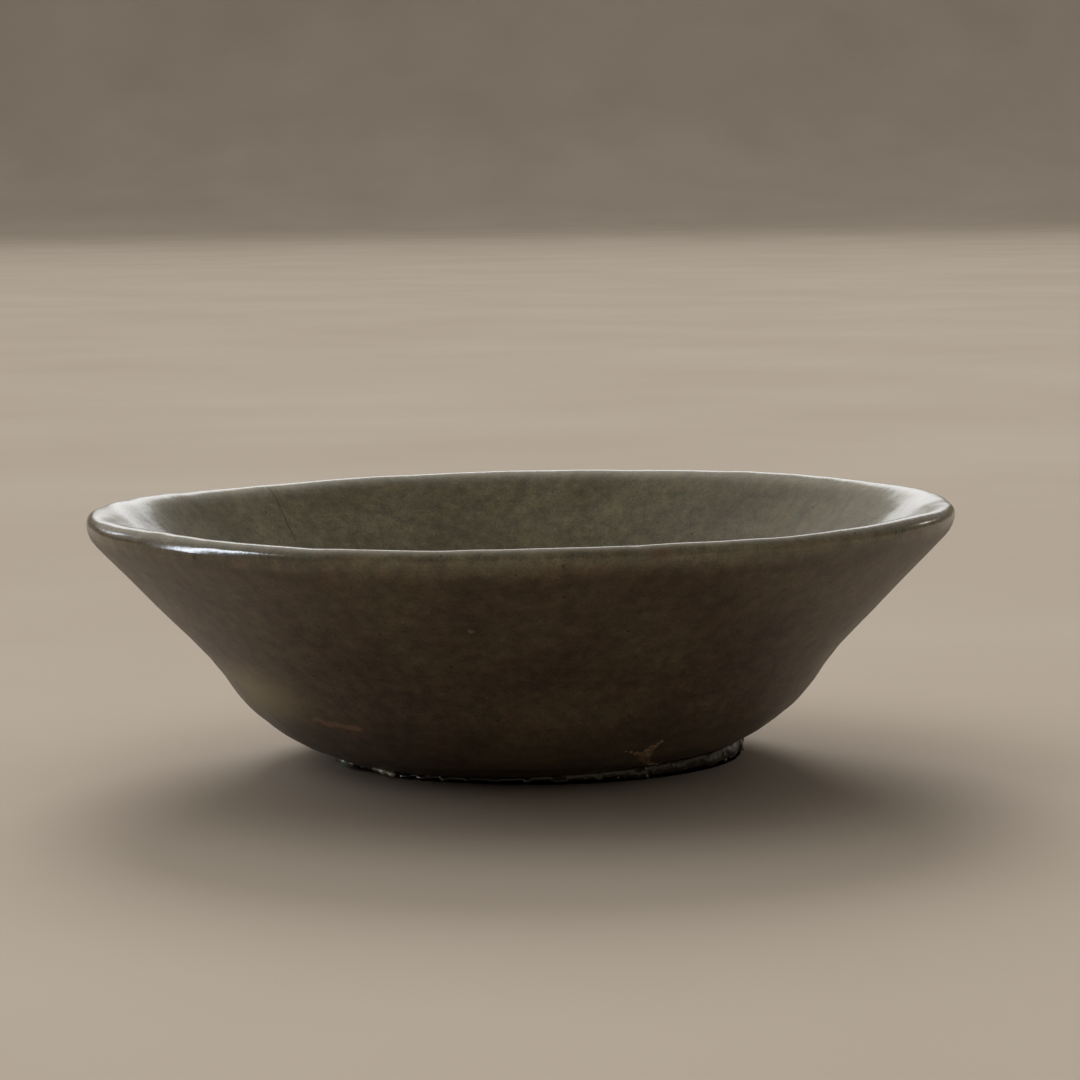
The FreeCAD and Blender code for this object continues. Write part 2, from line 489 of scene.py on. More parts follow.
SEGMENTS = 300
coat = spin_outline("glaze_coat", outline, SEGMENTS)
widest = max(coat.data.polygons, key=lambda face: face.center.x)
if widest.normal.x < 0:
    coat.data.flip_normals()

# %% [markdown]
# The glaze inside the bowl is greener and paler than outside. Outside it is darker and browner,
# partly as thin iron-rich glaze and partly as painted shade for the outer wall, which faces
# down, away from the light. Each point of the coat stores how far inside it is, and the material
# reads it. The top band of the outer lip is counted partly as inside. That gives it the inside's
# gloss and, as painted light, some of its paler colour, for the lip that turns up to the light.

# %% Store inside and outside on the mesh
points = np.zeros(len(coat.data.vertices) * 3)
coat.data.vertices.foreach_get("co", points)
points = points.reshape(-1, 3)
radius, height = np.hypot(points[:, 0], points[:, 1]), points[:, 2]
inner = sorted((point.y, point.x) for point in inside)
outer = sorted((point.y, point.x) for point in outside)
middle = (np.interp(height, *zip(*inner)) + np.interp(height, *zip(*outer))) / 2
FADE = 1.2 * MM
inside_share_and_painted_lip_light = np.clip((middle - radius) / FADE + 0.5, 0, 1)
# The top band of the outer lip: the inside's gloss, and painted light in the inside's paler colour.
rise = np.clip((height - 35.8 * MM) / (4.2 * MM), 0, 1)
lip_gloss_and_painted_light = 0.6 * rise ** 2 * (3 - 2 * rise)
inside_share_and_painted_lip_light = np.maximum(inside_share_and_painted_lip_light, lip_gloss_and_painted_light)
store = coat.data.attributes.new("inside", "FLOAT", "POINT")
store.data.foreach_set("value", inside_share_and_painted_lip_light)
print("%.0f%% of the points are inside" % (100 * inside_share_and_painted_lip_light.mean()))


# %% [markdown]
# A thrown bowl is never quite true. It leans, its wall is pushed in here and out there, and
# its lip dips where a finger left it. The coat is nudged as wet clay is: one point is moved
# and its neighbours follow, less and less with distance, which is what proportional editing
# does.

# %% Nudge the form
def nudge(piece, place_mm, move_mm, reach_mm):
    """Moves the point nearest to a place, and its neighbours with a soft falloff."""
    only(piece)
    bpy.ops.object.mode_set(mode="EDIT")
    bpy.ops.mesh.select_mode(type="VERT")
    bpy.ops.mesh.select_all(action="DESELECT")
    bpy.ops.object.mode_set(mode="OBJECT")
    spots = np.zeros(len(piece.data.vertices) * 3)
    piece.data.vertices.foreach_get("co", spots)
    gaps = np.linalg.norm(spots.reshape(-1, 3) - np.array(place_mm) * MM, axis=1)
    piece.data.vertices[int(gaps.argmin())].select = True
    bpy.ops.object.mode_set(mode="EDIT")
    bpy.ops.transform.translate(
        value=Vector(move_mm) * MM, use_proportional_edit=True,
        proportional_edit_falloff="SMOOTH", proportional_size=reach_mm * MM)
    bpy.ops.object.mode_set(mode="OBJECT")


def round_the_bowl(angle, radius_mm, height_mm):
    """A place, in millimetres, from its angle round the rim's axis."""
    turn = math.radians(angle)
    return (radius_mm * math.cos(turn), radius_mm * math.sin(turn), height_mm)


# %% [markdown]
# The large nudges set how far the form is from true. Small ones along the lip break up its
# highlight, which on a perfect ring would be a clean line that no thrown bowl shows.

# %% Push the form about
# Each nudge: angle, radius and height of the place, push outwards, lift, reach, in mm.
NUDGES = [
    (180, 51, 17, -0.35, 0.0, 13), (180, 44, 8.5, 0.3, 0.0, 8), (180, 67, 34, 0.45, 0.0, 11),
    (0, 51, 17, 0.3, 0.0, 13), (0, 41, 6, -0.25, 0.0, 8), (0, 67, 34, -0.4, 0.0, 10),
    (135, 69, 40.5, 0.0, -0.35, 34), (255, 69, 40.5, 0.0, -0.3, 30),
    (212, 69, 40.5, 0.0, 0.22, 26), (55, 69, 40.5, 0.0, 0.28, 36),
    (300, 69, 40.5, 0.0, -0.25, 40), (270, 69, 40.5, 0.0, -0.2, 30),
    (180, 69, 40.5, 0.0, 0.55, 42), (215, 69, 40.5, 0.0, 0.3, 30),
]
for angle, radius_mm, height_mm, push, lift, reach in NUDGES:
    out = round_the_bowl(angle, push, lift)
    nudge(coat, round_the_bowl(angle, radius_mm, height_mm), out, reach)

# The lip is fuller at the front left, where a flat band faces up and out.
for angle in range(203, 246, 3):
    nudge(coat, round_the_bowl(angle, 70, 38.8), round_the_bowl(angle, 0.04, -0.22), 5.5)

# Small wobbles all along the lip, which break up its highlight.
luck = random.Random(7)
for number in range(26):
    angle = number * 360 / 26 + luck.uniform(-5, 5)
    lift = luck.uniform(-0.06, 0.06)
    nudge(coat, round_the_bowl(angle, 68.6, 40.5), (0, 0, lift), luck.uniform(5, 9))

# A little bite out of the lip at the front.
CHIP_ANGLE = -75.7
nudge(coat, round_the_bowl(CHIP_ANGLE, 68.6, 40.5), (0, 0, -0.12), 1.7)
nudge(coat, round_the_bowl(CHIP_ANGLE + 1.5, 69.6, 40.0), (0, 0.1, -0.1), 1.8)

# %% [markdown]
# The lower edge of the coat wanders, because the glaze was wiped and then ran. After that a
# Displace modifier with a soft cloud texture adds the slow unevenness of a hand-made
# surface, and Solidify gives the skin its thickness, inwards.

# %% Finish the coat
COAT_END_RADIUS = wall_radius(COAT_END / MM)
for number in range(30):
    angle = number * 360 / 30 + luck.uniform(-5, 5)
    lift = luck.uniform(-0.2, 0.35)
    place = round_the_bowl(angle, COAT_END_RADIUS, COAT_END / MM)
    nudge(coat, place, round_the_bowl(angle, lift * 1.5, lift), luck.uniform(1.8, 3.5))
# On the left the coat stops higher, above a hanging drip.
for angle, lift in [(176, 0.3), (188, 0.4), (200, 0.15)]:
    place = round_the_bowl(angle, COAT_END_RADIUS, COAT_END / MM)
    nudge(coat, place, round_the_bowl(angle, lift * 1.5, lift), 6)


def uneven(piece, name, feature_mm, depth_mm):
    """Displaces a surface by a soft cloud pattern."""
    only(piece)
    pattern = bpy.data.textures.new(name, "CLOUDS")
    pattern.noise_scale = feature_mm * MM
    pattern.noise_depth = 2
    move = piece.modifiers.new(name, "DISPLACE")
    move.texture = pattern
    move.texture_coords = "LOCAL"
    move.strength = depth_mm * MM
    move.mid_level = 0.5
    bpy.ops.object.modifier_apply(modifier=name)


uneven(coat, "slow unevenness", 24, 0.45)
uneven(coat, "thick and thin glaze", 6, 0.09)
only(coat)
skin = coat.modifiers.new("glaze thickness", "SOLIDIFY")
skin.thickness = GLAZE
skin.offset = -1
bpy.ops.object.modifier_apply(modifier="glaze thickness")
bpy.ops.object.shade_smooth()


# %% [markdown]
# The whole bowl leans a third of a degree on its foot. The points are turned in edit mode,
# and not the object, so that the object itself stays unturned at the origin.

# %% Lean the bowl
LEAN = math.radians(0.38)
LEAN_CENTRE = (0, 0, CREST_HEIGHT - 1.55 * MM)


def lean(piece):
    """Tips a piece about the middle of the rim, so that its +X side is higher."""
    only(piece)
    bpy.ops.object.mode_set(mode="EDIT")
    bpy.ops.mesh.select_all(action="SELECT")
    bpy.ops.transform.rotate(value=LEAN, orient_axis="Y", center_override=LEAN_CENTRE)
    bpy.ops.object.mode_set(mode="OBJECT")


lean(coat)
right = max(coat.data.vertices, key=lambda point: point.co.x).co
left = min(coat.data.vertices, key=lambda point: point.co.x).co
print("the rim's right side is %.2f mm higher than its left" % ((right.z - left.z) / MM))
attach(coat, ROOT)
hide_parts("inner_glaze", "outer_glaze")


# %% [markdown]
# ## The clay body
#
# Under the glaze is grey-brown stoneware clay. It shows only under the base and where the
# glaze stopped, so it is spun as one closed form, and the recess inside the foot ring is
# cut out of it with a boolean. The cutter has fine rings on top, and they stay in the base
# as the marks of the trimming tool.

# %% Spin the clay and cut the recess
SKIRT_END = 0.3 * MM
clay_outside = [point for point in outside_path(GLAZE, 1.6 * MM) if point.y > SKIRT_END]
clay_outline = list(reversed(inside_path(GLAZE, 2.4 * MM))) + clay_outside[1:]
clay_outline += [Vector((clay_outside[-1].x - 0.6 * MM, SKIRT_END)), Vector((0, SKIRT_END))]
clay = spin_outline("thrown_clay", clay_outline, 180)
lean(clay)

STEP, RING_DEPTH, RINGS_PER_MM, BELOW = 0.6 * MM, 0.07 * MM, 2.1, -3 * MM
recess_top = [Vector((index * STEP, FOOT_HEIGHT)) for index in range(int(FOOT_RADIUS / STEP))]
recess_top = [point + Vector((0, RING_DEPTH * math.sin(point.x / MM * RINGS_PER_MM)))
              for point in recess_top]
cutter_outline = recess_top + [
    Vector((FOOT_RADIUS, FOOT_HEIGHT)), Vector((FOOT_RADIUS, BELOW)), Vector((0, BELOW))]
cutter = spin_outline("recess_cutter", cutter_outline, 140, FOOT_CENTRE)
only(clay)
cut = clay.modifiers.new("recess", "BOOLEAN")
cut.object = cutter
cut.operation = "DIFFERENCE"
cut.solver = "EXACT"
bpy.ops.object.modifier_apply(modifier="recess")
bpy.data.objects.remove(cutter)
bpy.ops.object.shade_smooth_by_angle(angle=math.radians(35))
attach(clay, ROOT)
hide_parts("clay_body")
print("clay body: %d faces" % len(clay.data.polygons))


# %% [markdown]
# ## The foot ring
#
# The foot is a low ring of bare clay, worn flat underneath and rough everywhere else. Its
# section is spun with enough points for a fine texture to bite, two displacements roughen
# it, and whatever falls below the table is pressed flat, as use has done to the real one.

# %% Spin and roughen the foot ring
RING_WIDTH = 5.5 * MM
ring_section = walk((FOOT_RADIUS - 0.8 * MM, 0.0), 0, [
    ("arc", 0.8 * MM, 90), ("line", FOOT_HEIGHT - 0.8 * MM)], 0.4 * MM)
ring_section += walk((FOOT_RADIUS - RING_WIDTH, FOOT_HEIGHT), -90, [
    ("line", FOOT_HEIGHT - 0.6 * MM), ("arc", 0.6 * MM, 90), ("line", RING_WIDTH - 1.4 * MM)], 0.5 * MM)
ring_section[-1] = ring_section[0].copy()
foot = spin_outline("rough_foot", ring_section, 360, FOOT_CENTRE)
uneven(foot, "lumps of the foot", 2.6, 0.5)
uneven(foot, "sandy foot", 0.7, 0.22)
only(foot)
for point in foot.data.vertices:
    point.select = point.co.z < 0.12 * MM
bpy.ops.object.mode_set(mode="EDIT")
bpy.ops.transform.resize(value=(1, 1, 0), center_override=(0, 0, 0))
bpy.ops.object.mode_set(mode="OBJECT")
bpy.ops.object.shade_smooth()
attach(foot, ROOT)
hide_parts("foot_ring")


# %% [markdown]
# ## Glaze that ran to the foot
#
# Molten glaze crept down, gathered in a roll round the foot ring, and froze in beads and
# drips. They could be sculpted, but balls are simpler: a chain of them runs round the
# ring, larger ones stand for the drips, and a voxel remesh melts them into one surface.

# %% Balls that melt together
def ball(place, size, detail=2):
    """One squashed ball, with its size along the three axes."""
    bpy.ops.mesh.primitive_ico_sphere_add(subdivisions=detail, radius=1, location=place)
    bpy.context.object.scale = size
    return bpy.context.object


def melt_together(balls, name, voxel_mm, smoothing):
    """Joins pieces and remeshes them into one closed surface."""
    nothing_selected()
    for part in balls:
        part.select_set(True)
    bpy.context.view_layer.objects.active = balls[0]
    bpy.ops.object.join()
    piece = bpy.context.object
    piece.name = name
    piece.data.name = name
    bpy.ops.object.transform_apply(location=True, rotation=True, scale=True)
    melt = piece.modifiers.new("melt", "REMESH")
    melt.mode = "VOXEL"
    melt.voxel_size = voxel_mm * MM
    bpy.ops.object.modifier_apply(modifier="melt")
    smooth = piece.modifiers.new("smooth", "SMOOTH")
    smooth.factor = 0.5
    smooth.iterations = smoothing
    bpy.ops.object.modifier_apply(modifier="smooth")
    return piece


# %% [markdown]
# The foot ring is off the rim's axis, so the roll follows whichever is further out, the end
# of the coat or the edge of the ring, and it is lifted with the leaning wall.

# %% Roll and drips
def foot_edge(angle):
    """How far from the rim's axis the foot ring's edge is, in this direction, in mm."""
    shift, radius = FOOT_CENTRE.x / MM, FOOT_RADIUS / MM
    turn = math.radians(angle)
    return shift * math.cos(turn) + math.sqrt(radius ** 2 - (shift * math.sin(turn)) ** 2)


def lean_lift(angle, radius_mm):
    """How much the lean lifts a place on the bowl, in mm."""
    return radius_mm * math.cos(math.radians(angle)) * math.sin(LEAN)


nothing_selected()
balls = []
LINKS = 260
swell = 0.0
for number in range(LINKS):
    angle = number * 360 / LINKS
    swell = 0.75 * swell + 0.25 * luck.uniform(-1, 1)
    reach = max(COAT_END_RADIUS - 0.1, foot_edge(angle) - 0.25)
    top = max(COAT_END / MM, wall_height(reach)) + lean_lift(angle, reach) + 0.15
    hang = 0.35 * max(0.0, math.cos(math.radians(angle - 186))) ** 6
    bottom = min(0.3 - 0.25 * swell + hang, top - 0.45)
    tall = (top - bottom) / 2
    deep = 0.3 + 0.1 * swell + 0.06 * (tall - 0.5)
    place = Vector(round_the_bowl(angle, reach, (top + bottom) / 2)) * MM
    balls.append(ball(place, (deep * MM, 1.2 * MM, tall * MM)))
    balls[-1].rotation_euler = (0, 0, math.radians(angle))
# Each drip: angle round the rim's axis, how far it stands out, half width, half depth,
# top and bottom, in mm. The largest hangs at the left, beside the foot ring, and the next
# one along is a slanting ridge.
DRIPS = [
    (203, -0.3, 1.5, 1.3, 2.3, 0.3), (207, -0.1, 1.6, 1.5, 2.3, 0.0), (212, 0.1, 1.3, 1.2, 2.0, 0.2),
    (217, 0.1, 1.1, 0.8, 1.7, 0.4), (221, 0.5, 1.0, 0.75, 2.3, 0.9), (224, 0.65, 1.1, 0.8, 2.0, 0.5),
    (227, 0.7, 1.15, 0.85, 1.6, 0.15), (230, 0.6, 1.1, 0.85, 1.2, 0.0), (234, 0.4, 0.9, 0.7, 0.9, 0.0),
    (240, 0.35, 1.2, 0.8, 1.0, 0.1), (247, 0.2, 0.6, 0.6, 0.8, 0.1), (254, 0.3, 0.45, 0.7, 0.9, 0.1),
    (262, 0.1, 0.8, 0.6, 0.8, 0.15), (271, 0.1, 0.6, 0.6, 0.9, 0.15), (280, 0.2, 1.4, 0.7, 0.9, 0.2),
    (291, 0, 0.7, 0.6, 1.0, 0.2), (303, 0, 1.8, 0.5, 1.6, 0.2), (316, 0, 2.2, 0.5, 2.1, 0.2),
    (329, 0, 2.4, 0.5, 2.5, 0.2), (343, 0, 2.6, 0.55, 2.8, 0.2), (354, 0, 1.5, 0.8, 2.9, 0.1),
    (3, 0.1, 1.6, 1.0, 3.0, 0.4), (16, 0, 1.9, 0.8, 2.8, 0.3), (38, 0, 1.0, 0.8, 2.2, 0.2),
    (62, 0, 2.0, 0.9, 1.8, 0.1), (90, 0, 1.0, 0.7, 1.4, 0.2), (118, 0, 2.0, 0.8, 1.4, 0.1),
    (140, 0, 1.1, 0.7, 1.2, 0.1), (163, 0.1, 2.2, 0.8, 1.3, 0.15),
]
for angle, out, width, depth, top, bottom in DRIPS:
    reach = max(COAT_END_RADIUS, foot_edge(angle) - 0.2) + out
    place = Vector(round_the_bowl(angle, reach, (top + bottom) / 2)) * MM
    drip = ball(place, (depth * MM, width * MM, (top - bottom) / 2 * MM))
    drip.rotation_euler = (0, 0, math.radians(angle))
    balls.append(drip)
run = melt_together(balls, "run_glaze", 0.18, 12)
uneven(run, "lumpy run glaze", 3.2, 0.45)
uneven(run, "pitted run glaze", 0.8, 0.1)
only(run)
for point in run.data.vertices:
    point.select = point.co.z < 0.06 * MM
bpy.ops.object.mode_set(mode="EDIT")
bpy.ops.transform.resize(value=(1, 1, 0), center_override=(0, 0, 0.06 * MM))
bpy.ops.object.mode_set(mode="OBJECT")
bpy.ops.object.shade_smooth()
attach(run, ROOT)
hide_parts(*["glaze_drip_%d" % number for number in range(1, 9)])
print("run glaze: %d faces" % len(run.data.polygons))


# %% [markdown]
# ## Fireclay and quartz from the kiln
#
# A lump of fireclay, left by a support, sticks to the lower wall at the front right. Round
# the foot there are grains of quartz sand from the kiln floor. The lump could be sculpted,
# but like the drips it is simpler as balls that melt together, with its surface displaced.

# %% Fireclay lump
def on_the_wall(across_mm, height_mm, inset_mm=0.0):
    """A place on the front of the wall, and its angle, from how far across and high it is."""
    radius = wall_radius(height_mm) - inset_mm
    angle = -math.degrees(math.acos(across_mm / radius))
    high = height_mm + lean_lift(angle, radius)
    return Vector(round_the_bowl(angle, radius, high)) * MM, angle


# Each crumb: how far across, how high and its half size, in mm. They branch like a Y.
CRUMBS = [
    (21.2, 7.3, 0.5), (20.6, 6.8, 0.6), (19.9, 6.3, 0.85), (19.2, 5.8, 1.1), (18.7, 5.1, 1.4),
    (18.6, 4.2, 1.2), (19.0, 3.3, 0.95), (19.7, 2.6, 0.8), (20.7, 2.1, 0.6),
    (17.4, 5.4, 0.85), (16.5, 5.8, 0.6), (15.6, 5.9, 0.45),
]
nothing_selected()
lumps = []
for across, high, size in CRUMBS:
    where, angle = on_the_wall(across, high, 0.15)
    lump = ball(where, (0.55 * size * MM, size * MM, size * MM))
    lump.rotation_euler = (0, math.radians(55), math.radians(angle))
    lumps.append(lump)
wad = melt_together(lumps, "fireclay_lump", 0.13, 2)
uneven(wad, "crumbly fireclay", 0.6, 0.4)
only(wad)
bpy.ops.object.shade_smooth()
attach(wad, ROOT)
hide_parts("fireclay_wad")
print("fireclay lump: %d faces" % len(wad.data.polygons))

# %% [markdown]
# Sand grains are broken, each in its own way. So each starts as a coarse ball of twenty
# faces whose points are drawn in at random, and then it is turned at random. That is few
# faces for one grain, and the eye sees only that it is not round.

# %% Quartz grains
GRAINS = 90
grains = []
nothing_selected()
for number in range(GRAINS):
    angle = luck.gauss(-20, 75)
    size = luck.choice((0.14, 0.18, 0.24, 0.3, 0.42)) * MM
    reach = max(COAT_END_RADIUS, foot_edge(angle)) + luck.uniform(-0.3, 0.45)
    high = luck.uniform(0.3, 0.9 + 0.6 * (1 + math.cos(math.radians(angle))))
    place = Vector(round_the_bowl(angle, reach, high)) * MM
    place.z = max(place.z, 1.05 * size)
    grain = ball(place, (size, size * luck.uniform(0.6, 1), size * luck.uniform(0.55, 1)), 1)
    grain.rotation_euler = [luck.uniform(0, math.tau) for axis in range(3)]
    for point in grain.data.vertices:
        point.co *= luck.uniform(0.72, 1.0)
    grains.append(grain)
for grain in grains:
    grain.select_set(True)
bpy.context.view_layer.objects.active = grains[0]
bpy.ops.object.join()
grit = bpy.context.object
grit.name = "quartz_sand"
grit.data.name = "quartz_sand"
bpy.ops.object.transform_apply(location=True, rotation=True, scale=True)
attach(grit, ROOT)
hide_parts("kiln_grit")
print("grit: %d grains, lowest %.2f mm" % (GRAINS, min(point.co.z for point in grit.data.vertices) / MM))


# %% [markdown]
# ## Celadon glaze
#
# Ash glaze over iron-bearing clay, fired with little air: olive grey-green, brown where it
# is thin, clouded and finely speckled, with a few iron spots. On the outside the brown is also
# painted shade, for the wall that faces down, away from the light. Its surface is glass, so the
# shader keeps glass's IOR of about 1.5 and a low roughness, and its colour comes from
# layers of noise at the sizes that such a glaze shows: clouds of a centimetre or more,
# mottling of two millimetres, and a grain of a third of a millimetre.

# %% Masks for single marks in the glaze
def near_line(tree, place, start_mm, end_mm, width_mm, wander_mm=1.4):
    """A mask that is 1 on a wandering line between two places on the wall."""
    start, end = Vector(start_mm) * MM, Vector(end_mm) * MM
    along = (end - start).normalized()
    # The wall curves away from a straight line, so distance across the wall counts for little.
    across = Vector((0, 0, 1)).cross(along).cross(along).normalized()
    wander = add_node(tree, "ShaderNodeTexNoise", sockets={
        "Vector": place, "Scale": per_mm(2.2), "Detail": 3.0})
    spread = add_node(tree, "ShaderNodeVectorMath", {"operation": "MULTIPLY_ADD"},
                      {0: wander.outputs["Color"], 1: (wander_mm * MM,) * 3, 2: place})
    offset = add_node(tree, "ShaderNodeVectorMath", {"operation": "SUBTRACT"},
                      {0: spread.outputs[0], 1: start + Vector((wander_mm * MM / 2,) * 3)})
    depth = add_node(tree, "ShaderNodeVectorMath", {"operation": "PROJECT"},
                     {0: offset.outputs[0], 1: across})
    squashed = add_node(tree, "ShaderNodeVectorMath", {"operation": "MULTIPLY_ADD"},
                        {0: depth.outputs[0], 1: (-0.85,) * 3, 2: offset.outputs[0]})
    travelled = add_node(tree, "ShaderNodeVectorMath", {"operation": "DOT_PRODUCT"},
                         {0: squashed.outputs[0], 1: along}).outputs["Value"]
    clamped = add_node(tree, "ShaderNodeClamp", sockets={"Value": travelled, "Max": (end - start).length})
    nearest = add_node(tree, "ShaderNodeVectorMath", {"operation": "SCALE"},
                       {0: along, "Scale": clamped.outputs[0]})
    gap = add_node(tree, "ShaderNodeVectorMath", {"operation": "DISTANCE"},
                   {0: squashed.outputs[0], 1: nearest.outputs[0]}).outputs["Value"]
    mask = add_node(tree, "ShaderNodeMapRange", {"interpolation_type": "SMOOTHSTEP"},
                    {"Value": gap, 1: width_mm * MM * 0.4, 2: width_mm * MM, 3: 1.0, 4: 0.0})
    return mask.outputs[0]


def near_spot(tree, place, centre_mm, size_mm, softness=0.5):
    """A mask that is 1 in a ragged patch of this half size along each axis."""
    wander = add_node(tree, "ShaderNodeTexNoise", sockets={
        "Vector": place, "Scale": per_mm(1.3), "Detail": 3.0})
    ragged = add_node(tree, "ShaderNodeVectorMath", {"operation": "MULTIPLY_ADD"},
                      {0: wander.outputs["Color"], 1: (1.6 * MM,) * 3, 2: place})
    offset = add_node(tree, "ShaderNodeVectorMath", {"operation": "SUBTRACT"},
                      {0: ragged.outputs[0], 1: (Vector(centre_mm) + Vector((0.8, 0.8, 0.8))) * MM})
    scaled = add_node(tree, "ShaderNodeVectorMath", {"operation": "DIVIDE"},
                      {0: offset.outputs[0], 1: Vector(size_mm) * MM})
    gap = add_node(tree, "ShaderNodeVectorMath", {"operation": "LENGTH"}, {0: scaled.outputs[0]})
    mask = add_node(tree, "ShaderNodeMapRange", {"interpolation_type": "SMOOTHSTEP"},
                    {"Value": gap.outputs["Value"], 1: 1 - softness, 2: 1.0, 3: 1.0, 4: 0.0})
    return mask.outputs[0]


# %% [markdown]
# The recipe multiplies layers of noise on to the base colours, from wide clouds down to
# fine grain. Streaks come from the same noise squeezed in height, because the marks of the
# wheel run round the bowl. Spots and flecks are the middles of a few chosen cells.

# %% Recipe of the glaze
def build_glaze(name, outer_stops_with_painted_shade, inner_stops):
    """The glaze, from the colours of its clouds outside and inside the bowl; the outside colours carry
    painted shade.
    """
    material, tree, shader, place = new_finish(name)

    def noise_of(size_mm, detail, vector=place):
        return add_node(tree, "ShaderNodeTexNoise", sockets={
            "Vector": vector, "Scale": per_mm(size_mm), "Detail": detail, "Roughness": 0.6}).outputs["Fac"]

    def ramp(value, *stops):
        ramped = add_node(tree, "ShaderNodeValToRGB", sockets={"Fac": value}, stops=list(stops))
        return ramped.outputs["Color"]

    clouds, mottle, grain = noise_of(13, 5.0), noise_of(2.0, 4.0), noise_of(0.34, 2.0)
    # Streaks that run round the bowl: the same noise, squeezed in height.
    squeezed = add_node(tree, "ShaderNodeMapping", sockets={"Vector": place, "Scale": (0.06, 0.06, 1.0)})
    streaks = noise_of(1.1, 3.0, squeezed.outputs[0])

    hues = ramp(noise_of(5.5, 3.0), (0.35, (1.04, 0.985, 0.96, 1)), (0.65, (0.965, 1.015, 0.99, 1)))
    base_outside_with_painted_shade = ramp(clouds, *[(at, colour(code)) for at, code in outer_stops_with_painted_shade])
    base_inside = ramp(clouds, *[(at, colour(code)) for at, code in inner_stops])
    # The outside colours carry painted shade; the blend also brings the inside's paler colour onto the
    # outer lip as painted light.
    inside_and_painted_light_mask = add_node(tree, "ShaderNodeAttribute", {"attribute_name": "inside"}).outputs["Fac"]
    shade = blend(tree, inside_and_painted_light_mask, base_outside_with_painted_shade, base_inside)
    shade = blend(tree, 1.0, shade, hues, "MULTIPLY")
    mottled = ramp(mottle, (0.3, (0.66, 0.68, 0.7, 1)), (0.7, (1.3, 1.28, 1.24, 1)))
    shade = blend(tree, 1.0, shade, mottled, "MULTIPLY")
    grainy = ramp(grain, (0.3, (0.72, 0.72, 0.72, 1)), (0.7, (1.28, 1.28, 1.28, 1)))
    shade = blend(tree, 1.0, shade, grainy, "MULTIPLY")
    streaky = ramp(streaks, (0.35, (0.84, 0.84, 0.84, 1)), (0.65, (1.14, 1.14, 1.12, 1)))
    shade = blend(tree, 0.4, shade, streaky, "MULTIPLY")

    # Iron spots: a sparse scatter of dark dots, a third of a millimetre across.
    cells = add_node(tree, "ShaderNodeTexVoronoi", sockets={"Vector": place, "Scale": per_mm(3.4)})
    cell_colour = add_node(tree, "ShaderNodeSeparateColor", sockets={"Color": cells.outputs["Color"]})
    chosen = cell_colour.outputs["Red"]
    dot = calculate(tree, "LESS_THAN", cells.outputs["Distance"], 0.085)
    spots = calculate(tree, "MULTIPLY", dot, calculate(tree, "GREATER_THAN", chosen, 0.62))
    shade = blend(tree, calculate(tree, "MULTIPLY", spots, 0.75), shade, colour("2b2118"))
    # Pale specks: unmelted ash, smaller and fewer.
    flecks = add_node(tree, "ShaderNodeTexVoronoi", sockets={"Vector": place, "Scale": per_mm(2.6)})
    fleck_colour = add_node(tree, "ShaderNodeSeparateColor", sockets={"Color": flecks.outputs["Color"]})
    picked = fleck_colour.outputs["Green"]
    fleck = calculate(tree, "MULTIPLY", calculate(tree, "LESS_THAN", flecks.outputs["Distance"], 0.07),
                      calculate(tree, "GREATER_THAN", picked, 0.85))
    shade = blend(tree, calculate(tree, "MULTIPLY", fleck, 0.35), shade, colour("a39a80"))

    surface = calculate(tree, "MULTIPLY_ADD", mottle, 0.8, calculate(tree, "MULTIPLY", streaks, 0.5))
    surface = calculate(tree, "MULTIPLY_ADD", grain, 0.16, surface)
    surface = calculate(tree, "MULTIPLY_ADD", fleck, -0.8, surface)
    return material, tree, shader, place, shade, surface


# %% [markdown]
# The relief comes from the same layers as the colour, so a dark speck is also a small pit.

# %% Connect a glaze
def finish_glaze(tree, shader, shade, surface, bump_mm, roughness):
    """Connects colour, gloss and relief. Glass keeps an IOR of about 1.5."""
    relief = add_node(tree, "ShaderNodeBump", sockets={
        "Height": surface, "Distance": bump_mm * MM, "Strength": 1.0})
    tree.links.new(shade, shader.inputs["Base Color"])
    tree.links.new(relief.outputs["Normal"], shader.inputs["Normal"])
    if isinstance(roughness, bpy.types.NodeSocket):
        tree.links.new(roughness, shader.inputs["Roughness"])
    else:
        shader.inputs["Roughness"].default_value = roughness
    shader.inputs["IOR"].default_value = 1.5


# %% [markdown]
# Then come the marks that only this bowl has. Each is a mask round a place or a line, given
# in millimetres, with its own colour laid over the glaze.

# %% Ash celadon glaze
# Wood-ash celadon: glassy and worn a little matt outside, glossy and greener inside. The outside colours
# are darker
#  and browner, partly as thin iron-rich glaze and partly as painted shade for the wall that faces down,
#  away from the light.
ROUGHNESS_OUTSIDE, ROUGHNESS_INSIDE = 0.47, 0.17
OUTER_GLAZE_WITH_PAINTED_SHADE = [(0.3, "4d4034"), (0.5, "574a3c"), (0.72, "605644")]
INNER_GLAZE = [(0.3, "69644f"), (0.5, "76715c"), (0.72, "827e69")]
glaze, tree, shader, place, shade, surface = build_glaze("ash_celadon_glaze", OUTER_GLAZE_WITH_PAINTED_SHADE, INNER_GLAZE)
# Wood ash settled on the lower left and melted to a paler olive.
ash = near_spot(tree, place, (-40.5, -24.0, 14.0), (19.0, 22.0, 7.5), 1.0)
shade = blend(tree, calculate(tree, "MULTIPLY", ash, 0.72), shade, colour("958a68"))
# A hairline crack on the inside, from the lip down, and a dark pit beside it.
crack = near_line(tree, place, (-45.3, 49.9, 40.2), (-39.8, 41.3, 30.5), 0.3, 0.6)
shade = blend(tree, calculate(tree, "MULTIPLY", crack, 0.6), shade, colour("2a251c"))
shade = blend(tree, near_spot(tree, place, (-43.4, 41.0, 32.6), (1.3, 1.3, 0.9)), shade, colour("241d13"))
